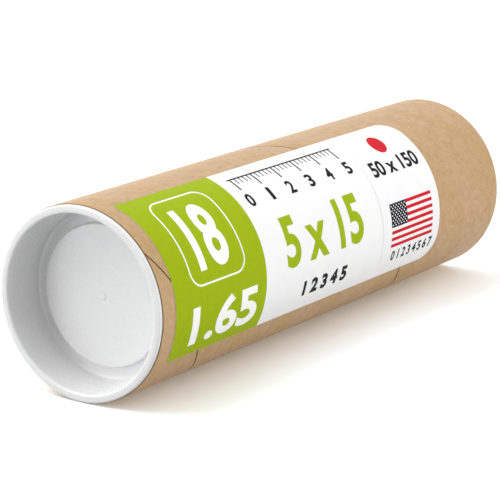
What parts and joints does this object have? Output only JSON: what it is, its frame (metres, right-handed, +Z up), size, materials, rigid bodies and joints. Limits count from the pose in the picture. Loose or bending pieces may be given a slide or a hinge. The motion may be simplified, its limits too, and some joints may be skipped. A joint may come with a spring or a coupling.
{
  "type": "cardboard mailing tube",
  "caption": "Spiral-wound brown paperboard mailing tube with a push-in white end plug at each end and a wrapped paper label with printed colour fields.",
  "frame": {"origin": "centre of the lower plug's rim, on the surface that the tube stands on", "axes": "+Z up along the tube's axis; -Y is the way the middle of the label faces; the print reads downwards, with the tops of its figures towards +X"},
  "size_m": [0.054, 0.0542, 0.1802],
  "materials": {
    "kraft_board": "matt, fine paper fibre",
    "white_plastic": "satin moulded polyethylene",
    "white_paper": "smooth coated paper",
    "green_ink": "printed ink",
    "red_ink": "printed ink",
    "navy_ink": "printed ink"
  },
  "bodies": {
    "tube_body": {"tube": "kraft_board", "label": "white_paper", "label_panel_ink": "green_ink", "label_stripes_ink": "red_ink", "label_canton_ink": "navy_ink"},
    "top_plug": {"top_cap": "white_plastic"},
    "bottom_plug": {"bottom_cap": "white_plastic"}
  },
  "joints": [
    {"name": "top_plug_pull", "type": "slide", "parent": "tube_body", "child": "top_plug", "axis": [0, 0, 1], "range_m": [0, 0.04]},
    {"name": "bottom_plug_pull", "type": "slide", "parent": "tube_body", "child": "bottom_plug", "axis": [0, 0, -1], "range_m": [0, 0.04]}
  ]
}
